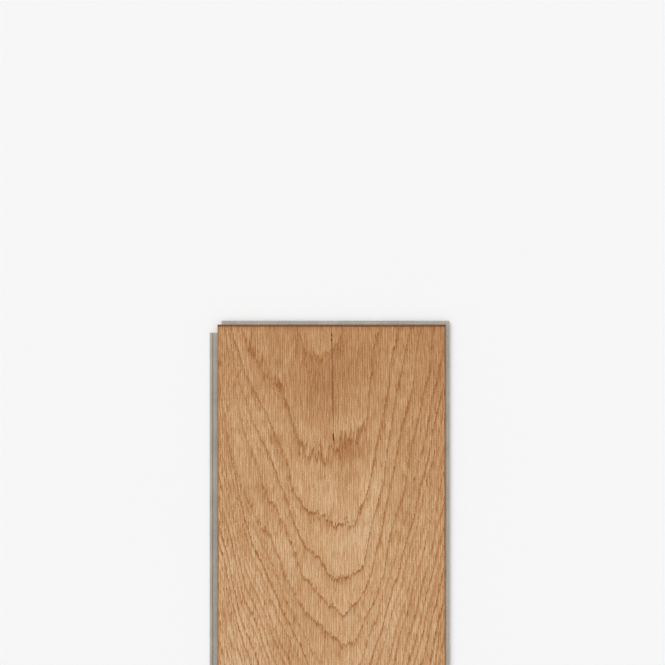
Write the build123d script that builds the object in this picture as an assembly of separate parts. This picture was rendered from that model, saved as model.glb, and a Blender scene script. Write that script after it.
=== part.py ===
from build123d import *
import os
from math import radians, tan

# Face of the plank, seam to seam, and its full thickness
face_width = 180.0
face_length = 1220.0
plank_thickness = 5.0

# Painted bevels round the face, and the shoulder that the printed film bends over
side_bevel_width = 0.9
side_bevel_depth = 0.5
side_shoulder_radius = 1.7
end_bevel_width = 1.6
end_bevel_depth = 0.5
end_shoulder_radius = 4.5

# Groove edge: a slot under the printed upper lip, over a longer lower lip
upper_lip_thickness = 1.6
slot_height = 2.1
slot_corner_radius = 0.4
lower_lip_reach = 6.2
lower_lip_nose_height = 1.0
lower_lip_nose_radius = 0.3

# Locking hook that stands up near the lower lip's nose
hook_height = 0.8
hook_top_width = 1.1
hook_lean = 0.5
hook_nose_run = 0.9
hook_edge_radius = 0.2

# Tongue edge: the tongue, and the relief under it that takes the next plank's lower lip
tongue_reach = 3.0
tongue_belly = 0.7
tongue_tip_rise = 0.7
tongue_nose_radius = 0.4
relief_edge_radius = 0.25

# Clearances of the joint: between the faces that slide, and ahead of noses and hook tops
sliding_clearance = 0.1
pocket_clearance = 0.3

# Heights and reaches that follow from the joint
slot_roof = plank_thickness - upper_lip_thickness
slot_floor = slot_roof - slot_height
slot_depth = tongue_reach + pocket_clearance
hook_top = slot_floor + hook_height
hook_foot = lower_lip_reach - hook_nose_run - hook_top_width - hook_lean
tongue_roof = slot_roof - sliding_clearance
tongue_floor = slot_floor + sliding_clearance
recess_roof = hook_top + pocket_clearance
relief_reach = lower_lip_reach + pocket_clearance
run_out = lower_lip_reach + tongue_reach


def lock_face(height):
    """How far from the seam the hook's leaning face is, at a height."""
    return hook_foot + hook_lean * (height - slot_floor) / hook_height


def groove_edge(bevel_width, bevel_depth, shoulder_radius):
    """Corners from the underside up to the face, as (distance past the seam, height, radius)."""
    return [
        (lower_lip_reach, 0, lower_lip_nose_radius),
        (lower_lip_reach, lower_lip_nose_height, lower_lip_nose_radius),
        (lower_lip_reach - hook_nose_run, hook_top, hook_edge_radius),
        (lock_face(hook_top), hook_top, hook_edge_radius),
        (lock_face(slot_floor), slot_floor, 0),
        (-slot_depth, slot_floor, slot_corner_radius),
        (-slot_depth, slot_roof, slot_corner_radius),
        (0, slot_roof, 0),
        (0, plank_thickness - bevel_depth, 0),
        (-bevel_width, plank_thickness, shoulder_radius),
    ]


def tongue_edge(bevel_width, bevel_depth, shoulder_radius):
    """Corners from the underside up to the face, as (distance past the seam, height, radius)."""
    return [
        (-relief_reach, 0, relief_edge_radius),
        (-relief_reach, recess_roof, relief_edge_radius),
        (sliding_clearance - lock_face(recess_roof), recess_roof, relief_edge_radius),
        (sliding_clearance - lock_face(tongue_floor), tongue_floor, 0),
        (tongue_belly, tongue_floor, 0),
        (tongue_reach, tongue_floor + tongue_tip_rise, tongue_nose_radius),
        (tongue_reach, tongue_roof, tongue_nose_radius),
        (0, tongue_roof, 0),
        (0, plank_thickness - bevel_depth, 0),
        (-bevel_width, plank_thickness, shoulder_radius),
    ]


def largest_radius(before, corner, after):
    """The largest round that a corner's two walls leave room for."""
    wall_in, wall_out = corner - before, after - corner
    half_turn = radians(wall_in.get_angle(wall_out)) / 2
    return 0.45 * min(wall_in.length, wall_out.length) / tan(half_turn)


def milled_section(span, bevel):
    """The plank's closed section over one span: groove edge at the low side, tongue edge at the high."""
    low_side = [(-span / 2 - past, height, radius) for past, height, radius in groove_edge(*bevel)]
    high_side = [(span / 2 + past, height, radius) for past, height, radius in tongue_edge(*bevel)]
    outline = low_side + high_side[::-1]
    corners = [Vector(place, height) for place, height, _ in outline]
    radii = [
        min(radius, largest_radius(before, corner, after))
        for before, corner, after, (_, _, radius) in zip(
            corners[-1:] + corners[:-1], corners, corners[1:] + corners[:1], outline
        )
    ]
    return make_face(FilletPolyline(*corners, radius=radii, close=True))


def run_both_ways(plane, section, length):
    """A section drawn on an upright plane, run on both ways from the middle of the plank."""
    return extrude(plane * section, amount=length, both=True)


def end_waste(bevel):
    """What the end cutters take away: all that lies round the lengthwise section, at both ends."""
    blank = Rectangle(face_length + 4 * run_out, 3 * plank_thickness)
    middle = Rectangle(face_length - 4 * run_out, 3 * plank_thickness)
    return blank - middle - milled_section(face_length, bevel)


def lip_stop(x_low, y_low, x_span, y_span):
    """Block that ends a lower lip at the corner where it would hang under a relieved edge."""
    return Pos(x_low, y_low) * Box(
        x_span, y_span, plank_thickness, align=(Align.MIN, Align.MIN, Align.MIN)
    )


def plank():
    """The sides are milled along the board, then the ends across it, so the bevels meet in a mitre."""
    side_bevel = (side_bevel_width, side_bevel_depth, side_shoulder_radius)
    end_bevel = (end_bevel_width, end_bevel_depth, end_shoulder_radius)
    across = Plane(origin=(0, 0, 0), x_dir=(1, 0, 0), z_dir=(0, -1, 0))
    along = Plane(origin=(0, 0, 0), x_dir=(0, 1, 0), z_dir=(1, 0, 0))
    side_section = milled_section(face_width, side_bevel)
    board = run_both_ways(across, side_section, face_length / 2 + run_out)
    board -= run_both_ways(along, end_waste(end_bevel), face_width / 2 + run_out)
    tongue_room = relief_reach + run_out
    board -= lip_stop(
        -face_width / 2 - run_out, face_length / 2 - relief_reach, run_out, tongue_room
    )
    board -= lip_stop(
        face_width / 2 - relief_reach, -face_length / 2 - run_out, tongue_room, run_out
    )
    return board


os.makedirs("parts", exist_ok=True)
export_step(plank(), "parts/plank.step")
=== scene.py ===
import math
import bmesh
import bpy
import numpy as np
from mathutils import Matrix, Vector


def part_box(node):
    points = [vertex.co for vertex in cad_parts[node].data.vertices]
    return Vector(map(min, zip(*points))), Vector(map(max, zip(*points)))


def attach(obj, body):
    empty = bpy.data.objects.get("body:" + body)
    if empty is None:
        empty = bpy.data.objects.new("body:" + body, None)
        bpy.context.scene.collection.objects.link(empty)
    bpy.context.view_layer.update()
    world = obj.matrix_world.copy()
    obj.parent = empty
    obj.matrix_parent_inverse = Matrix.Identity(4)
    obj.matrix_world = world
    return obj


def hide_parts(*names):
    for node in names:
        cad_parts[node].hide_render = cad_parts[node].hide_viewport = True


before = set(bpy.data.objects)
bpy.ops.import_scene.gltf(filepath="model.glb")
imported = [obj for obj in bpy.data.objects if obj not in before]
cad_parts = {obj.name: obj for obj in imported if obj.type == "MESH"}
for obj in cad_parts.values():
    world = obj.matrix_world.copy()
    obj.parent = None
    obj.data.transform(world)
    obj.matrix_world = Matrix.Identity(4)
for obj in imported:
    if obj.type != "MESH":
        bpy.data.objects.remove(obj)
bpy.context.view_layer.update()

mm = 0.001


def srgb(red, green, blue):
    # a colour as it is read off a picture, 0 to 255, made linear
    return tuple(((c / 255 + 0.055) / 1.055) ** 2.4 for c in (red, green, blue)) + (1.0,)


class Wire:  # one output of a node, so that the maths below reads as plain sums
    def __init__(self, graph, socket):
        self.graph = graph
        self.socket = socket

    def pick(self, name):
        return Wire(self.graph, self.socket.node.outputs[name])

    def maths(self, operation, *values):
        return self.graph.node("ShaderNodeMath", {"operation": operation}, dict(enumerate(values)))

    def __add__(self, other):
        return self.maths("ADD", self, other)

    def __sub__(self, other):
        return self.maths("SUBTRACT", self, other)

    def __rsub__(self, other):
        return self.maths("SUBTRACT", other, self)

    def __mul__(self, other):
        return self.maths("MULTIPLY", self, other)

    def __truediv__(self, other):
        return self.maths("DIVIDE", self, other)

    def __pow__(self, other):
        return self.maths("POWER", self, other)

    def __abs__(self):
        return self.maths("ABSOLUTE", self)

    __radd__ = __add__
    __rmul__ = __mul__

    def fract(self):
        return self.maths("FRACT", self)

    def floor(self):
        return self.maths("FLOOR", self)

    def atMost(self, limit):
        return self.maths("MINIMUM", self, limit)

    def swing(self):
        # from -1 up to 1 and back, once for each unit
        return self.maths("PINGPONG", self, 0.5) * 4.0 - 1.0

    def ramp(self, start, end, low=0.0, high=1.0):
        # low up to the start, high from the end on, smooth between; the start may be the larger
        if start > end:
            start, end, low, high = end, start, high, low
        limits = {"Value": self, "From Min": start, "From Max": end, "To Min": low, "To Max": high}
        return self.graph.node("ShaderNodeMapRange", {"interpolation_type": "SMOOTHSTEP"}, limits)


class Graph:  # adds nodes to one tree
    def __init__(self, tree):
        self.tree = tree

    def node(self, kind, settings=None, sockets=None, output=0):
        made = self.tree.nodes.new(kind)
        for name, value in (settings or {}).items():
            if name == "stops":
                while len(made.color_ramp.elements) < len(value):
                    made.color_ramp.elements.new(0.5)
                for element, (position, colour) in zip(made.color_ramp.elements, value):
                    element.position = position
                    element.color = srgb(*colour)
            else:
                setattr(made, name, value)
        for name, value in (sockets or {}).items():
            if isinstance(value, Wire):
                self.tree.links.new(value.socket, made.inputs[name])
            else:
                made.inputs[name].default_value = value
        return Wire(self, made.outputs[output]) if made.outputs else made

    def noise(self, place, detail):
        # 0 to 1, in patches about one unit wide
        return self.node("ShaderNodeTexNoise", None, {"Vector": place, "Scale": 1.0, "Detail": detail})

    def noiseAt(self, x, y, z, detail):
        return self.noise(self.node("ShaderNodeCombineXYZ", None, {0: x, 1: y, 2: z}), detail)

    def grain(self, place, across, along, detail, seed):
        # noise in patches about so wide and so long
        scale = (1 / across, 1 / along, 1 / across)
        sockets = {"Vector": place, "Location": (seed, seed / 2, 0), "Scale": scale}
        return self.noise(self.node("ShaderNodeMapping", None, sockets), detail)

    def blend(self, amount, first, second):
        # inputs 6 and 7 and output 2 of a Mix node are its colours
        return self.node("ShaderNodeMix", {"data_type": "RGBA"}, {0: amount, 6: first, 7: second}, 2)

    def bump(self, strength, distance, height):
        sockets = {"Strength": strength, "Distance": distance, "Height": height}
        return self.node("ShaderNodeBump", None, sockets)

    def surface(self, sockets):
        shader = self.node("ShaderNodeBsdfPrincipled", None, sockets)
        self.node("ShaderNodeOutputMaterial", None, {"Surface": shader})


def newMaterial(name):
    material = bpy.data.materials.new(name)
    material.use_nodes = True
    material.node_tree.nodes.clear()
    return material, Graph(material.node_tree)


def addToScene(name, data):
    made = bpy.data.objects.new(name, data)
    bpy.context.scene.collection.objects.link(made)
    return made


def readAll(items, name, width):
    # one value for each item, or a row of them
    values = np.zeros(len(items) * width)
    items.foreach_get(name, values)
    return values.reshape(-1, width) if width > 1 else values


# the oak figure, in mm: across from the middle line, and down from the tongue end
figure = {
    "seed": 11,
    "depths": (-250, 1400),  # what is worked out, past both ends of the board
    "innerLines": [  # the arches, from the heart out, each from its left end to its right one
        [(-26, 8), (-22, 16), (-19, 23), (-9, 25), (0, 22), (5, 14), (9, 4)],
        [
            (-70, 9), (-63, 24), (-56, 31), (-49, 42), (-38, 54), (-34, 66), (-30, 81), (-27, 92),
            (-18, 103), (-7, 107), (1, 105), (6, 97), (14, 91), (22, 87), (28, 76), (30, 49), (33, 20),
            (36, 10),
        ],
        [
            (-77, 12), (-68, 39), (-56, 61), (-49, 75), (-38, 100), (-33, 116), (-31, 129), (-26, 139),
            (-22, 144), (-14, 147), (-6, 151), (0, 156), (3, 161), (6, 157), (13, 160), (18, 161),
            (21, 152), (25, 142), (30, 124), (37, 91), (41, 70), (45, 49), (46, 30), (51, 10),
        ],
        [
            (-76, 39), (-67, 61), (-57, 88), (-46, 112), (-36, 139), (-32, 152), (-23, 172), (-16, 180),
            (-9, 185), (-3, 195), (1, 199), (18, 199), (25, 191), (28, 178), (33, 152), (41, 123),
            (45, 89), (51, 54), (55, 36), (61, 8),
        ],
        [
            (-83, 12), (-75, 55), (-67, 88), (-56, 117), (-54, 127), (-49, 139), (-44, 143), (-41, 154),
            (-30, 176), (-22, 200), (-12, 214), (0, 222), (12, 226), (22, 218), (31, 199), (41, 151),
            (49, 115), (56, 75), (64, 50), (69, 6),
        ],
        [
            (-77, 109), (-69, 137), (-60, 150), (-47, 170), (-36, 199), (-20, 228), (-4, 246), (8, 252),
            (20, 246), (32, 222), (41, 199), (46, 164), (56, 134), (61, 105), (67, 79), (74, 52),
            (78, 31), (80, 6),
        ],
    ],
    "riseLeft": 8.0,  # how steeply an inner line climbs left of its first point
    "riseRight": 5.0,  # and right of its last one
    "leastGap": 0.01,  # between two lines
    "heartGap": 40,  # above the first line
    "outerRings": [74, 79.5, 83.5, 89.5, 93, 99, 104],  # the next rings, out from the middle
    "ringGap": 5.0,  # between the rings past those
    "ringGapSpread": 1.8,
    "lastRing": 500,
    "crown": 28.0,  # roundness of an arch at its foot
    "crowding": 0.6,  # of the rings along the left edge
    "crowdingFrom": -68,
    "middle": [  # where the rings turn, by the depth
        (-40, -7), (0, -6.5), (60, -6.5), (120, -4), (202, 1), (300, 9),
        (520, -4), (760, 8), (1000, 1), (1260, -10),
    ],
    "climb": [  # how fast the rings move outward, by the depth
        (-250, 0.17), (30, 0.185), (90, 0.24), (160, 0.31), (230, 0.31), (380, 0.2),
        (480, 0.155), (620, 0.14), (760, 0.22), (930, 0.28), (1080, 0.17), (1300, 0.3),
    ],
    "waves": 14,  # in each field of waves below
    "wander": [(0, 0.8), (80, 1.2), (200, 1.4), (330, 2.6), (1300, 2.6)],  # of the lines, by the depth
    "wanderLengths": (18, 60),
    "kink": 0.7,
    "kinkLengths": (7, 16),
    "slopeOver": (0.5, 1.0),  # the stretch across and down that a slope is taken over
    "gapLimits": (2, 80),  # from one ring to the next
}


def wanderField(rng, across, down, shortest, longest):
    # a few long waves laid over each other, about -1 to 1
    total = np.zeros(across.shape)
    for _ in range(figure["waves"]):
        length = rng.uniform(shortest, longest)
        phase = rng.uniform(0, 2 * math.pi)
        slant = rng.uniform(-1, 1)
        total += np.sin(2 * math.pi * (across / length + slant * down / (2.5 * length)) + phase)
    return total / math.sqrt(figure["waves"] / 2)


def softPatch(across, down, middle, reach):
    # 1 at its middle, and about a third of that at its reach
    return np.exp(-(((across - middle[0]) / reach[0]) ** 2) - ((down - middle[1]) / reach[1]) ** 2)


def lineDepth(across, points):
    xs, depths = np.array(points, float).T
    depth = np.interp(across, xs, depths)
    depth -= max(xs[0] - across, 0) * figure["riseLeft"]
    return depth - max(across - xs[-1], 0) * figure["riseRight"]


def ringField(across, down):
    # ring number at each place: it grows outward from the heart of the figure
    rng = np.random.default_rng(figure["seed"])
    dense = np.arange(*figure["depths"], dtype=float)
    climb = np.cumsum(np.interp(dense, *np.array(figure["climb"]).T))
    climb -= np.interp(0, dense, climb)
    middle = np.interp(dense, *np.array(figure["middle"]).T)
    places = list(figure["outerRings"])
    while places[-1] < figure["lastRing"]:
        places.append(places[-1] + figure["ringGap"] + rng.uniform(-1, 1) * figure["ringGapSpread"])
    wander = np.interp(down, *np.array(figure["wander"]).T)
    down = down + wander * wanderField(rng, across, down, *figure["wanderLengths"])
    down += figure["kink"] * wanderField(rng, across, down, *figure["kinkLengths"])
    ring = np.zeros(across.shape)
    columns = np.round(across, 3)
    for column in np.unique(columns):
        reach = np.hypot(column - middle, figure["crown"]) - figure["crown"] + climb
        reach += figure["crowding"] * max(figure["crowdingFrom"] - column, 0)
        depths = [lineDepth(column, points) for points in figure["innerLines"]]
        depths += list(np.interp(places, np.maximum.accumulate(reach), dense))
        depths = np.maximum.accumulate(np.array(depths) + figure["leastGap"] * np.arange(len(depths)))
        here = columns == column
        ring[here] = np.interp(down[here], depths, np.arange(1, len(depths) + 1))
        above = here & (down < depths[0])
        ring[above] = 1 + (down[above] - depths[0]) / figure["heartGap"]
    return ring


def ringSlopes(across, down):
    # rings for each mm across, and the mm from one ring to the next
    wide, long = figure["slopeOver"]
    slope = (ringField(across + wide / 2, down) - ringField(across - wide / 2, down)) / wide
    slopeDown = (ringField(across, down + long / 2) - ringField(across, down - long / 2)) / long
    least, most = figure["gapLimits"]
    return slope, 1 / np.clip(np.hypot(slope, slopeDown), 1 / most, 1 / least)


bold = {
    "inner": [0.5, 0.6, 0.86, 0.92, 0.92, 0.85, 0.85],  # of the heart, then of each inner line
    "outer": (0.45, 1.1),
    "mostRings": 200,  # more than the board has
    "turn": 0.6,  # how far past a line the next one's boldness sets in, in rings
    "thinner": [  # middle, radii, and how much paler the lines are
        ((-64, 61), (26, 47), 0.43),
        ((48, 108), (20, 38), 0.22),
        ((-38, 132), (10, 20), 0.15),
    ],
}


def boldField(across, down, ring):
    # how dark each ring's line is; it changes over in the pale part between two lines
    rng = np.random.default_rng(figure["seed"] + 1)
    each = np.concatenate([bold["inner"], rng.uniform(*bold["outer"], bold["mostRings"])])
    number = np.floor(ring + 1 - bold["turn"]).astype(int)
    dark = each[np.clip(number, 0, len(each) - 1)]
    for middle, reach, amount in bold["thinner"]:
        dark = dark * (1 - amount * softPatch(across, down, middle, reach))
    return dark


tone = {
    "depth": 0.062,  # how much darker the tongue end is
    "reach": 200.0,
    "drift": 0.019,  # of the tone past the patches
    "driftFrom": 190,
    "driftBlur": 60,
    "driftLengths": (60, 240),
    "patches": [  # paler and darker stretches: middle, radii, and how much paler
        ((-8, 52), (20, 28), -0.052),
        ((14, 103), (13, 7), -0.050),
        ((15, 81), (13, 10), 0.054),
        ((-18, 86), (6, 8), 0.024),
        ((20, 30), (14, 22), -0.050),
        ((-42, 22), (16, 16), -0.016),
        ((82, 40), (14, 42), -0.034),
        ((-3, 136), (12, 15), 0.046),
        ((7, 167), (16, 10), 0.053),
        ((-78, 196), (16, 12), 0.032),
        ((-76, 10), (12, 10), 0.030),
        ((16, 136), (8, 8), -0.014),
        ((-66, 135), (10, 8), -0.024),
        ((26, 155), (12, 45), 0.036),
        ((16, 125), (9, 14), -0.020),
        ((-14, 117), (16, 14), 0.022),
        ((37, 115), (9, 36), 0.034),
        ((-34, 8), (10, 9), -0.022),
        ((-64, 84), (16, 26), 0.036),
        ((-82, 64), (8, 14), 0.022),
        ((-34, 80), (8, 14), 0.022),
        ((32, 126), (9, 12), 0.018),
        ((-84, 92), (7, 12), -0.012),
        ((-88, 140), (5, 60), 0.018),
        ((84, 150), (8, 50), -0.018),
        ((54, 150), (14, 10), -0.020),
        ((-15, 103), (8, 8), 0.022),
        ((-67, 184), (8, 8), 0.018),
        ((-42, 90), (4, 4), -0.040),
    ],
}


def toneField(across, down):
    rng = np.random.default_rng(figure["seed"] + 2)
    paler = -tone["depth"] * np.clip(1 - down / tone["reach"], 0, 1)
    for middle, reach, amount in tone["patches"]:
        paler += amount * softPatch(across, down, middle, reach)
    past = np.clip((down - tone["driftFrom"]) / tone["driftBlur"], 0, 1)
    return paler + past * tone["drift"] * wanderField(rng, across, down, *tone["driftLengths"])


feather = {
    "rings": (3.5, 7),  # it grows from the inner arches to the outer rings
    "amounts": (0.075, 0.17),
    "calmAcross": (12, 32),  # and is less on the right
    "calm": (1, 0.6),
    "spikes": 0.15,  # at the foot of the second arch
    "spikesAt": (4, 96),
    "spikesReach": (30, 20),
}


def featherField(across, down, ring):
    # how far the fibres pull a line out into spikes, in rings
    foot = softPatch(across, down, feather["spikesAt"], feather["spikesReach"])
    calm = np.interp(across, feather["calmAcross"], feather["calm"])
    return np.interp(ring, feather["rings"], feather["amounts"]) * calm + feather["spikes"] * foot


# the board's own sizes
board = {
    "halfWidth": 90 * mm,  # seam to seam is 180
    "halfLength": 610 * mm,
    "bevelDepth": 0.5 * mm,
    "cellAcross": 0.95 * mm,  # grid that carries the pressed grain
    "cellAlong": 2.4 * mm,
    "pressedFrom": 3 * mm,  # how far inside the shoulders the grain is pressed in full
    "sharpTurn": 25.0,  # degrees past which an edge shades as a corner
    "closeBy": 1e-6,  # nearer than this is the same place
}


def gridFace(mesh, top):
    # the flat face as an even grid, sewn into the faces round it
    flat = [f for f in mesh.faces if all(v.co.z > top - board["closeBy"] for v in f.verts)]
    inner = [e for e in mesh.edges if sum(f in flat for f in e.link_faces) == 2]
    corners = {v for f in flat for v in f.verts}
    left, right = min(v.co.x for v in corners), max(v.co.x for v in corners)
    near, far = min(v.co.y for v in corners), max(v.co.y for v in corners)
    columns = round((right - left) / board["cellAcross"])
    rows = round((far - near) / board["cellAlong"])
    stepX = (right - left) / columns
    stepY = (far - near) / rows
    bmesh.ops.delete(mesh, geom=flat, context="FACES_ONLY")
    bmesh.ops.delete(mesh, geom=inner, context="EDGES")
    rim = [e for e in mesh.edges if e.is_boundary]
    crossing = [e for e in rim if abs(e.verts[0].co.y - e.verts[1].co.y) < stepY / 2]
    bmesh.ops.subdivide_edges(mesh, edges=crossing, cuts=columns - 1)
    bmesh.ops.subdivide_edges(mesh, edges=[e for e in rim if e not in crossing], cuts=rows - 1)
    grid = {}
    for v in [v for v in mesh.verts if v.is_boundary]:
        grid[round((v.co.x - left) / stepX), round((v.co.y - near) / stepY)] = v
    for i in range(1, columns):
        for j in range(1, rows):
            grid[i, j] = mesh.verts.new((left + i * stepX, near + j * stepY, top))
    for i in range(columns):
        for j in range(rows):
            mesh.faces.new((grid[i, j], grid[i + 1, j], grid[i + 1, j + 1], grid[i, j + 1]))
    print("printed face gridded,", columns, "by", rows)
    return left, right, near, far


def storeFields(data, flat, top):
    # what the print and the pressed grain read at each point
    left, right, near, far = flat
    x, y, z = readAll(data.vertices, "co", 3).T
    across = x / mm
    down = (board["halfLength"] - y) / mm
    ring = ringField(across, down)
    slope, gap = ringSlopes(across, down)
    inside = np.minimum(np.minimum(x - left, right - x), np.minimum(y - near, far - y))
    onFace = z > top - board["closeBy"]
    fields = {
        "ring": ring,
        "slope": slope,
        "gap": gap,
        "bold": boldField(across, down, ring),
        "tone": toneField(across, down),
        "feather": featherField(across, down, ring),
        "pressed": np.where(onFace, np.clip(inside / board["pressedFrom"], 0, 1), 0),
    }
    for name, values in fields.items():
        layer = data.attributes.new(name, "FLOAT", "POINT")
        layer.data.foreach_set("value", values.astype(np.float32))


def boardObject(top):
    mesh = bmesh.new()
    mesh.from_mesh(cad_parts["plank"].data)
    bmesh.ops.remove_doubles(mesh, verts=mesh.verts, dist=board["closeBy"])
    flat = gridFace(mesh, top)
    printed = mesh.faces.layers.int.new("printed")
    filmEnds = top - board["bevelDepth"] - 0.01 * mm
    for face in mesh.faces:
        face.smooth = True
        face[printed] = min(v.co.z for v in face.verts) > filmEnds
    for edge in mesh.edges:
        edge.smooth = edge.calc_face_angle(0) < math.radians(board["sharpTurn"])
    data = bpy.data.meshes.new("vinylPlank")
    mesh.to_mesh(data)
    mesh.free()
    storeFields(data, flat, top)
    print("board mesh made,", len(data.vertices), "points,", len(data.polygons), "faces")
    return addToScene("vinylPlank", data), flat


# a ramp is where it starts, where it ends, and the values there, or else 0 and 1
film = {
    "level": 0.7795,  # middle of the printed ground on the stops below
    "stops": [
        (0.20, (72, 24, 0)),
        (0.49, (127, 76, 34)),
        (0.63, (160, 106, 58)),
        (0.675, (172, 121, 74)),
        (0.71, (181, 131, 86)),
        (0.745, (190, 143, 96)),
        (0.78, (199, 153, 107)),
        (0.81, (206, 167, 124)),
        (0.86, (219, 184, 144)),
    ],
    "grains": {  # width, length, detail and seed of each noise
        "drift": (3.2 * mm, 30 * mm, 1.0, 3.0),
        "combing": (5 * mm, 11 * mm, 1.0, 11.0),
        "fibre": (0.85 * mm, 10 * mm, 1.0, 3.0),
        "speck": (0.7 * mm, 0.9 * mm, 0.0, 5.0),
        "streak": (1.6 * mm, 34 * mm, 2.0, 17.0),
        "broad": (9 * mm, 60 * mm, 2.0, 29.0),
        "along": (5 * mm, 14 * mm, 2.0, 53.0),
        "fleck": (0.85 * mm, 2.3 * mm, 1.0, 83.0),
    },
    "tones": {"fibre": 0.23, "speck": 0.13, "streak": 0.05, "broad": 0.075},  # how much each shows
    "columnWidth": 0.88 * mm,  # one column of fibres
    "columnDrift": 2.0,  # how far it strays, in columns
    "columnStride": 5.37,  # between the noises of two columns
    "columnGrains": {  # length, detail and seed of each noise that is even across a column
        "early": (26 * mm, 1.0, 7.0),
        "dashes": (9 * mm, 1.0, 11.0),
        "own": (20 * mm, 2.0, 23.0),
        "start": (40 * mm, 1.0, 47.0),
    },
    "toothGrain": (45 * mm, 1.0, 31.0),  # and of one that changes over many columns
    "toothPitch": 0.065,
    "column": 0.175,  # how much the columns differ
    "columnCalm": 0.1,  # less of it on the flanks
    "comb": 0.042,  # pale and dark columns by turns
    "combPatches": (0.3, 0.65, 0.3, 1.3),
    "flank": (16, 9),  # where the rings stand this close, in mm
    "band": 0.13,  # along the rings of the flanks
    "bandsPerRing": 2.6,
    "bandLength": 60 * mm,
    "bandSeed": 3.0,
    "halo": 0.06,  # shade on the outer side of a line
    "haloMiddle": 0.2,
    "pore": 0.13,  # dark ticks in the columns
    "pores": (0.60, 0.68),
    "poreRest": 0.25,
    "poreFlank": 0.2,
    "sideBevel": (1.2 * mm, 0.4 * mm, 0.0, 0.12),
    "endBevel": (2.3 * mm, 1.2 * mm, 0.0, 0.30),
    # painted shade beside the ends, darker towards the seam, standing in for the shade on their sloped
    # shoulders
    "endPaintedShade": (6 * mm, 2 * mm, 0.0, 0.035),
    "lineColour": (141, 83, 31),
    "lineCover": 0.92,  # the most that a line hides of the ground
    "fleckColour": (198, 126, 54),
    "flecks": (0.54, 0.67),
    "fleckRest": 0.20,  # how much a fleck hides of the plain ground, and more beside these
    "fleckShares": {"halo": 0.14, "line": 0.45, "ticks": 0.5},
    "fleckFromSide": (1.2 * mm, 2 * mm),
    "fleckFromEnd": (2 * mm, 3 * mm),
    "relief": {"fibre": 0.5, "comb": 0.1, "ticks": -0.6, "line": -0.5},
    "reliefStrength": 0.35,
    "reliefDepth": 0.06 * mm,
    "rough": 0.50,
    "roughStreak": 0.2,
    "roughLine": 0.08,
    "specular": 0.38,
}

growth = {
    "startJag": 2.0,  # how far a column, a group of columns and a column's middle pull a line out
    "toothJag": 2.2,
    "pointJag": 0.5,
    "early": (0.45, 0.75),  # where in its noise a column is pulled back
    "haloFall": 4,  # the soft shade that fades outward from a line
    "haloShare": 0.12,
    "width": 1.15,  # of a line, in mm, and how much the feathering adds
    "featherWidth": 0.5,
    "edge": (1.3, 0.2),
    "patches": (0.25, 0.75, 0.68, 1.13),  # fainter and firmer stretches of a line
    "wideRings": (10, 30, 0.85, 1.15),
    "dash": (0.40, 0.58),
    "dark": 0.95,
    "broken": 0.12,  # how much paler a line is between its dashes
    "brokenFeather": 1.7,
    "minorTurn": 0.47,  # a fainter line between two others, in rings
    "minorWidth": 1.6,
    "minorEdge": (1.1, 0.1),
    "minorClose": (14, 9),  # only where the rings stand so far apart, in mm
    "minorWide": (4.8, 6),
    "minorPatches": (0.35, 0.6),
    "minorDash": (0.62, 0.42),
    "minorLeft": (-40 * mm, -60 * mm, 0.3, 0.65),
}

check = {  # a fine split, printed in the film
    "across": 0.1 * mm,  # from the middle line, at the tongue end
    "lean": 0.016,
    "stray": 0.9 * mm,
    "width": (0.6 * mm, 0.2 * mm),
    "length": (96 * mm, 62 * mm),
    "patches": (0.1, 0.4),
    "start": (7 * mm, 12 * mm, 0.35, 1.0),
    "dark": 0.21,
    "slitAt": 89 * mm,
    "slitWidth": (0.7 * mm, 0.3 * mm),
    "slitLength": (3.4 * mm, 2.6 * mm),
    "slitDark": 0.46,
    "pinsAt": 10.2 * mm,
    "pinsApart": 2 * mm,  # each from the place halfway between them
    "pinWidth": (0.7 * mm, 0.3 * mm),
    "pinLength": (1.1 * mm, 0.6 * mm),
    "pinDark": 0.46,
}


def filmInputs(g):
    # what the print reads at a point: its place, the board's fields and the noises
    place = g.node("ShaderNodeTexCoord").pick("Object")
    x = g.node("ShaderNodeSeparateXYZ", None, {0: place})
    y = x.pick("Y")
    read = {"x": x, "y": y}
    read["fromSide"] = board["halfWidth"] - abs(x)
    read["fromEnd"] = board["halfLength"] - abs(y)
    for name in ("ring", "slope", "gap", "bold", "tone", "feather"):
        read[name] = g.node("ShaderNodeAttribute", {"attribute_name": name}).pick("Fac")
    for name, sizes in film["grains"].items():
        read[name] = g.grain(place, *sizes)
    return read


def fibreColumns(g, read):
    # fibres stand in columns, each with noises of its own
    spread = read["x"] / film["columnWidth"] + (read["drift"] - 0.5) * film["columnDrift"]
    column = spread.floor()

    def inColumn(number, length, detail, seed):
        return g.noiseAt(number * film["columnStride"] + seed, read["y"] / length, seed, detail)

    made = {name: inColumn(column, *sizes) for name, sizes in film["columnGrains"].items()}
    made["tooth"] = inColumn(column * film["toothPitch"], *film["toothGrain"])
    made["ticks"] = made["dashes"].ramp(*film["pores"])
    made["offMiddle"] = column - spread + 0.5
    made["comb"] = (spread * 0.5).swing()
    return made


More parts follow.
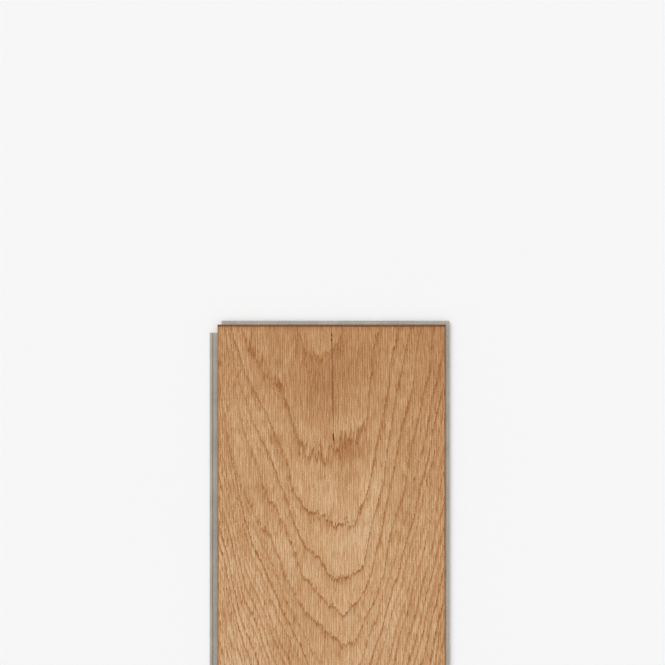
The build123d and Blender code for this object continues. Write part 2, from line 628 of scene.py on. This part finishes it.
def growthLines(read):
    # a line is crisp on its inner side and fades outward; it is read at the middle of each column,
    # a little early or late
    gap = read["gap"]
    spikes = read["feather"]
    jag = (read["start"] - 0.5) * growth["startJag"] + (read["tooth"] - 0.5) * growth["toothJag"]
    jag = jag + (0.5 - abs(read["offMiddle"])) * growth["pointJag"]
    toMiddle = read["offMiddle"] * (film["columnWidth"] / mm)
    level = read["ring"] + read["slope"] * toMiddle + jag * spikes
    halo = (1 - level.fract()) ** growth["haloFall"]
    late = level + read["early"].ramp(*growth["early"]) * spikes
    away = late.fract() * gap / (growth["width"] + gap * spikes * growth["featherWidth"])
    strength = read["bold"] * read["along"].ramp(*growth["patches"]) * gap.ramp(*growth["wideRings"])
    broken = growth["broken"] + spikes * growth["brokenFeather"]
    paler = (1 - read["dashes"].ramp(*growth["dash"])) * broken
    line = away.ramp(*growth["edge"]) * (growth["dark"] - paler) + halo * growth["haloShare"]
    between = (late + growth["minorTurn"]).fract() * gap / growth["minorWidth"]
    minor = between.ramp(*growth["minorEdge"]) * gap.ramp(*growth["minorClose"])
    minor = minor * gap.ramp(*growth["minorWide"]) * read["along"].ramp(*growth["minorPatches"])
    minor = minor * read["dashes"].ramp(*growth["minorDash"]) * read["x"].ramp(*growth["minorLeft"])
    return {"level": level, "halo": halo, "strength": strength, "line": strength * line + minor}


def printedGround(g, read):
    # how pale the ground is between the lines, as a place on the film's stops
    flank = read["gap"].ramp(*film["flank"])
    bandX = read["level"] * film["bandsPerRing"]
    bands = g.noiseAt(bandX, read["y"] / film["bandLength"], film["bandSeed"], 1.0)
    value = film["level"] + read["tone"]
    value = value + read["comb"] * read["combing"].ramp(*film["combPatches"]) * film["comb"]
    value = value + (read["own"] - 0.5) * film["column"] * (1 - flank * film["columnCalm"])
    value = value + (bands - 0.5) * flank * film["band"]
    for name, share in film["tones"].items():
        value = value + (read[name] - 0.5) * share
    value = value - (read["halo"] - film["haloMiddle"]) * read["strength"] * film["halo"]
    deep = film["poreRest"] + read["halo"] + flank * film["poreFlank"]
    return value - read["ticks"] * film["pore"] * deep


def paintedBevelsAndShade(read, value):
    # with a painted shade beside those of the ends, darker towards the seam, standing in for the light
    # falling off over their sloped shoulders
    value = value - read["fromSide"].ramp(*film["sideBevel"])
    return value - read["fromEnd"].ramp(*film["endBevel"]) - read["fromEnd"].ramp(*film["endPaintedShade"])


def dryingCheck(read, value):
    # it runs down from the tongue end, through two pin holes, to a short slit
    down = board["halfLength"] - read["y"]
    middle = read["x"] - check["across"] - down * check["lean"]
    aside = abs(middle + (read["streak"] - 0.5) * check["stray"])
    crack = aside.ramp(*check["width"]) * down.ramp(*check["length"])
    crack = crack * read["along"].ramp(*check["patches"]) * down.ramp(*check["start"])
    slit = aside.ramp(*check["slitWidth"]) * abs(down - check["slitAt"]).ramp(*check["slitLength"])
    fromPin = abs(abs(down - check["pinsAt"]) - check["pinsApart"])
    pins = fromPin.ramp(*check["pinLength"]) * abs(read["x"]).ramp(*check["pinWidth"])
    return value - crack * check["dark"] - slit * check["slitDark"] - pins * check["pinDark"]


def printedFilm():
    material, g = newMaterial("printedOakFilm")
    read = filmInputs(g)
    read |= fibreColumns(g, read)
    read |= growthLines(read)
    value = dryingCheck(read, paintedBevelsAndShade(read, printedGround(g, read)))
    colour = g.node("ShaderNodeValToRGB", {"stops": film["stops"]}, {"Fac": value})
    colour = g.blend(read["line"].atMost(film["lineCover"]), colour, srgb(*film["lineColour"]))
    cover = film["fleckRest"]
    for name, share in film["fleckShares"].items():
        cover = cover + read[name] * share
    flat = read["fromSide"].ramp(*film["fleckFromSide"]) * read["fromEnd"].ramp(*film["fleckFromEnd"])
    flecks = read["fleck"].ramp(*film["flecks"]) * flat * cover
    colour = g.blend(flecks, colour, srgb(*film["fleckColour"]))
    height = sum(read[name] * share for name, share in film["relief"].items())
    rough = film["rough"] + (read["streak"] - 0.5) * film["roughStreak"] + read["line"] * film["roughLine"]
    g.surface({
        "Base Color": colour,
        "Roughness": rough,
        "Normal": g.bump(film["reliefStrength"], film["reliefDepth"], height),
        "Specular IOR Level": film["specular"],
    })
    return material


core = {
    "stops": [(0.2, (143, 136, 125)), (0.5, (168, 161, 149)), (0.8, (190, 184, 172))],
    "grains": {  # width, length, detail and seed of each noise
        "speck": (0.35 * mm, 0.35 * mm, 3.0, 5.0),
        "cloud": (14 * mm, 22 * mm, 2.0, 9.0),
        "sideMarks": (0.14 * mm, 60 * mm, 1.0, 13.0),  # of the cutters
        "endMarks": (60 * mm, 0.14 * mm, 1.0, 19.0),
    },
    "tones": {"speck": 1.6, "cloud": 0.5, "marks": 0.35},
    "endReach": 7 * mm,  # how far inside the seam the end cutters go
    "endBlur": (-0.1 * mm, 0.1 * mm),
    "reliefSpeck": 0.5,
    "reliefStrength": 0.4,
    "reliefDepth": 0.05 * mm,
    "rough": 0.7,
    "roughSpeck": 0.2,
}


def coreBoard():
    material, g = newMaterial("milledCore")
    place = g.node("ShaderNodeTexCoord").pick("Object")
    read = {name: g.grain(place, *sizes) for name, sizes in core["grains"].items()}
    y = g.node("ShaderNodeSeparateXYZ", None, {0: place}).pick("Y")
    atEnd = (abs(y) - board["halfLength"] + core["endReach"]).ramp(*core["endBlur"])
    read["marks"] = read["sideMarks"] * (1 - atEnd) + read["endMarks"] * atEnd
    value = 0.5
    for name, share in core["tones"].items():
        value = value + (read[name] - 0.5) * share
    height = read["speck"] * core["reliefSpeck"] + read["marks"]
    g.surface({
        "Base Color": g.node("ShaderNodeValToRGB", {"stops": core["stops"]}, {"Fac": value}),
        "Roughness": core["rough"] + (read["speck"] - 0.5) * core["roughSpeck"],
        "Normal": g.bump(core["reliefStrength"], core["reliefDepth"], height),
    })
    return material


press = {
    "Press Depth": 0.07 * mm,
    "Pitch Across": 2.2 * mm,  # of the strokes
    "Pitch Along": 24 * mm,
    "Seed": 4.0,
    "Line Fall": 5.0,  # how steeply the press rises away from a line
    "Line Share": 0.7,
    "Stroke Rest": 0.35,  # strokes fainter than this press nothing
    "Stroke Share": 0.9,
}


def pressTree(g, given):
    # the wear coat is pressed down along the growth lines, in broken strokes
    kinds = {"ring": "FLOAT", "bold": "FLOAT", "pressed": "FLOAT", "printed": "INT"}
    ring, dark, pressed, printed = (
        g.node("GeometryNodeInputNamedAttribute", {"data_type": kind}, {"Name": name})
        for name, kind in kinds.items()
    )
    x = g.node("ShaderNodeSeparateXYZ", None, {0: g.node("GeometryNodeInputPosition")})
    strokeX = x / given.pick("Pitch Across")
    strokeY = x.pick("Y") / given.pick("Pitch Along")
    strokes = g.noiseAt(strokeX, strokeY, given.pick("Seed"), 1.0) - given.pick("Stroke Rest")
    depth = (1 - ring.fract()) ** given.pick("Line Fall") * dark * given.pick("Line Share")
    depth = depth + strokes * given.pick("Stroke Share")
    depth = depth * pressed * given.pick("Press Depth") * -1
    offset = g.node("ShaderNodeCombineXYZ", None, {2: depth.atMost(0.0)})
    moved = g.node("GeometryNodeSetPosition", None, {"Geometry": given.pick("Geometry"), "Offset": offset})
    moved = g.node("GeometryNodeRealizeInstances", None, {"Geometry": moved})
    moved = g.node("GeometryNodeSetMaterial", None, {"Geometry": moved, "Material": given.pick("Core")})
    filmed = {"Geometry": moved, "Selection": printed, "Material": given.pick("Film")}
    g.node("NodeGroupOutput", None, {0: g.node("GeometryNodeSetMaterial", None, filmed)})


def pressGrain(plank, filmMaterial, coreMaterial):
    tree = bpy.data.node_groups.new("pressedGrain", "GeometryNodeTree")
    tree.interface.new_socket("Geometry", in_out="INPUT", socket_type="NodeSocketGeometry")
    tree.interface.new_socket("Geometry", in_out="OUTPUT", socket_type="NodeSocketGeometry")
    inputs = {name: ("NodeSocketFloat", value) for name, value in press.items()}
    inputs["Film"] = ("NodeSocketMaterial", filmMaterial)
    inputs["Core"] = ("NodeSocketMaterial", coreMaterial)
    keys = {}
    for name, (kind, value) in inputs.items():
        keys[tree.interface.new_socket(name, in_out="INPUT", socket_type=kind).identifier] = value
    g = Graph(tree)
    pressTree(g, g.node("NodeGroupInput"))
    modifier = plank.modifiers.new("pressedGrain", "NODES")
    modifier.node_group = tree
    for key, value in keys.items():
        modifier[key] = value
    bpy.context.view_layer.update()
    plain = bpy.data.meshes.new_from_object(plank.evaluated_get(bpy.context.evaluated_depsgraph_get()))
    plank.modifiers.remove(modifier)
    plank.data = plain
    print("grain pressed, materials", [m.name for m in plain.materials])


# where each part of the surface lies on the board's own map: across it, then up it
mapTall = (0.002, 0.998)
mapPlaces = {
    "upperHalf": ((0.002, 0.387), mapTall),
    "lowerHalf": ((0.393, 0.778), mapTall),
    "leftBevel": ((0.784, 0.795), mapTall),
    "rightBevel": ((0.801, 0.812), mapTall),
    "farBevel": ((0.818, 0.830), (0.002, 0.242)),
    "nearBevel": ((0.818, 0.830), (0.254, 0.494)),
    "farEdge": ((0.818, 0.830), (0.506, 0.746)),
    "nearEdge": ((0.818, 0.830), (0.758, 0.998)),
    "leftEdge": ((0.836, 0.848), mapTall),
    "rightEdge": ((0.854, 0.866), mapTall),
    "underside": ((0.872, 0.998), mapTall),
}


def drawMap(data, flat):
    # the printed face is drawn largest, in two halves side by side
    left, right, near, far = flat
    faceOf = np.repeat(np.arange(len(data.polygons)), readAll(data.polygons, "loop_total", 1).astype(int))
    corner = readAll(data.vertices, "co", 3)[readAll(data.loops, "vertex_index", 1).astype(int)]
    x, y, z = corner.T
    centreX, centreY = readAll(data.polygons, "center", 3).T[:2]
    turnX, turnY, turnZ = np.abs(readAll(data.polygons, "normal", 3)).T
    printed = readAll(data.attributes["printed"].data, "value", 1) > 0
    inside = (centreX > left) & (centreX < right) & (centreY > near) & (centreY < far)
    face = printed & inside
    rim = printed & ~inside
    level = ~printed & (turnZ >= np.maximum(turnX, turnY))
    edge = ~printed & ~level
    lengthwise = turnX > turnY
    parts = {
        "upperHalf": (face & (centreY > 0), x, y),
        "lowerHalf": (face & (centreY <= 0), x, y),
        "leftBevel": (rim & lengthwise & (centreX < 0), x, y),
        "rightBevel": (rim & lengthwise & (centreX > 0), x, y),
        "farBevel": (rim & ~lengthwise & (centreY > 0), y, x),
        "nearBevel": (rim & ~lengthwise & (centreY < 0), y, x),
        "farEdge": (edge & ~lengthwise & (centreY > 0), z, x),
        "nearEdge": (edge & ~lengthwise & (centreY < 0), z, x),
        "leftEdge": (edge & lengthwise & (centreX < 0), z, y),
        "rightEdge": (edge & lengthwise & (centreX > 0), z, y),
        "underside": (level, x, y),
    }
    drawn = np.zeros((len(faceOf), 2))
    for name, (faces, wide, high) in parts.items():
        here = faces[faceOf]
        for axis, values, (low, top) in zip((0, 1), (wide[here], high[here]), mapPlaces[name]):
            drawn[here, axis] = low + (values - values.min()) / np.ptp(values) * (top - low)
    layer = data.uv_layers.new(name="OFBake")
    layer.data.foreach_set("uv", drawn.astype(np.float32).ravel())
    print("map drawn,", {name: int(faces.sum()) for name, (faces, _, _) in parts.items()})


studio = {
    "floorRadius": 40.0,
    "floorColour": (0.95, 0.95, 0.95, 1.0),
    "floorDarker": (0.8, 0.8, 0.8, 1.0),
    "floorGrain": (0.2, 0.2, 2.0, 1.0),
    "floorCloud": 0.03,
    "floorRough": 0.9,
    "skyShown": 0.95,
    "skyLevel": 0.66,
    "keyLevel": 1.35,
    "keySpread": 50.0,
    "keyTurn": (-32, -30, 0),
    "lens": 200.0,
    "sensor": 36.0,
    "frameWidth": 525 * mm,  # what the picture's width takes in at the printed face
    "aim": (0.8 * mm, 603.7 * mm),
}


def makeFloor():
    material, g = newMaterial("palePaper")
    cloud = g.grain(g.node("ShaderNodeTexCoord").pick("Object"), *studio["floorGrain"])
    colour = g.blend(cloud * studio["floorCloud"], studio["floorColour"], studio["floorDarker"])
    g.surface({"Base Color": colour, "Roughness": studio["floorRough"]})
    mesh = bmesh.new()
    bmesh.ops.create_circle(mesh, cap_ends=True, segments=96, radius=studio["floorRadius"])
    data = bpy.data.meshes.new("studioFloor")
    mesh.to_mesh(data)
    mesh.free()
    data.materials.append(material)
    floor = addToScene("studioFloor", data)


def makeSky():
    # the camera and reflections see it nearly white, whatever it lights with
    world = bpy.data.worlds.new("softRoom")
    world.use_nodes = True
    world.node_tree.nodes.clear()
    g = Graph(world.node_tree)
    path = g.node("ShaderNodeLightPath")
    seen = path.pick("Is Camera Ray") + path.pick("Is Glossy Ray") + path.pick("Is Transmission Ray")
    seen = seen.atMost(1.0)
    level = seen * studio["skyShown"] + (1 - seen) * studio["skyLevel"]
    sky = g.node("ShaderNodeBackground", None, {"Color": (1, 1, 1, 1), "Strength": level})
    g.node("ShaderNodeOutputWorld", None, {"Surface": sky})
    bpy.context.scene.world = world


def makeKey():
    lamp = bpy.data.lights.new("softKey", "SUN")
    lamp.energy = studio["keyLevel"]
    lamp.angle = math.radians(studio["keySpread"])
    addToScene("softKey", lamp).rotation_euler = [math.radians(turn) for turn in studio["keyTurn"]]


def makeCamera(top):
    # straight above the tongue end
    lens = bpy.data.cameras.new("overhead")
    lens.lens = studio["lens"]
    lens.sensor_width = studio["sensor"]
    camera = addToScene("overhead", lens)
    height = studio["frameWidth"] * studio["lens"] / studio["sensor"]
    camera.location = (*studio["aim"], top + height)
    bpy.context.scene.camera = camera
    print("studio ready, camera", round(height, 3), "m above the face")


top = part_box("plank")[1].z
plank, flatFace = boardObject(top)
pressGrain(plank, printedFilm(), coreBoard())
drawMap(plank.data, flatFace)
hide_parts("plank")
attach(plank, "root")
makeFloor()
makeSky()
makeKey()
makeCamera(top)
bpy.context.scene.view_settings.view_transform = "Standard"
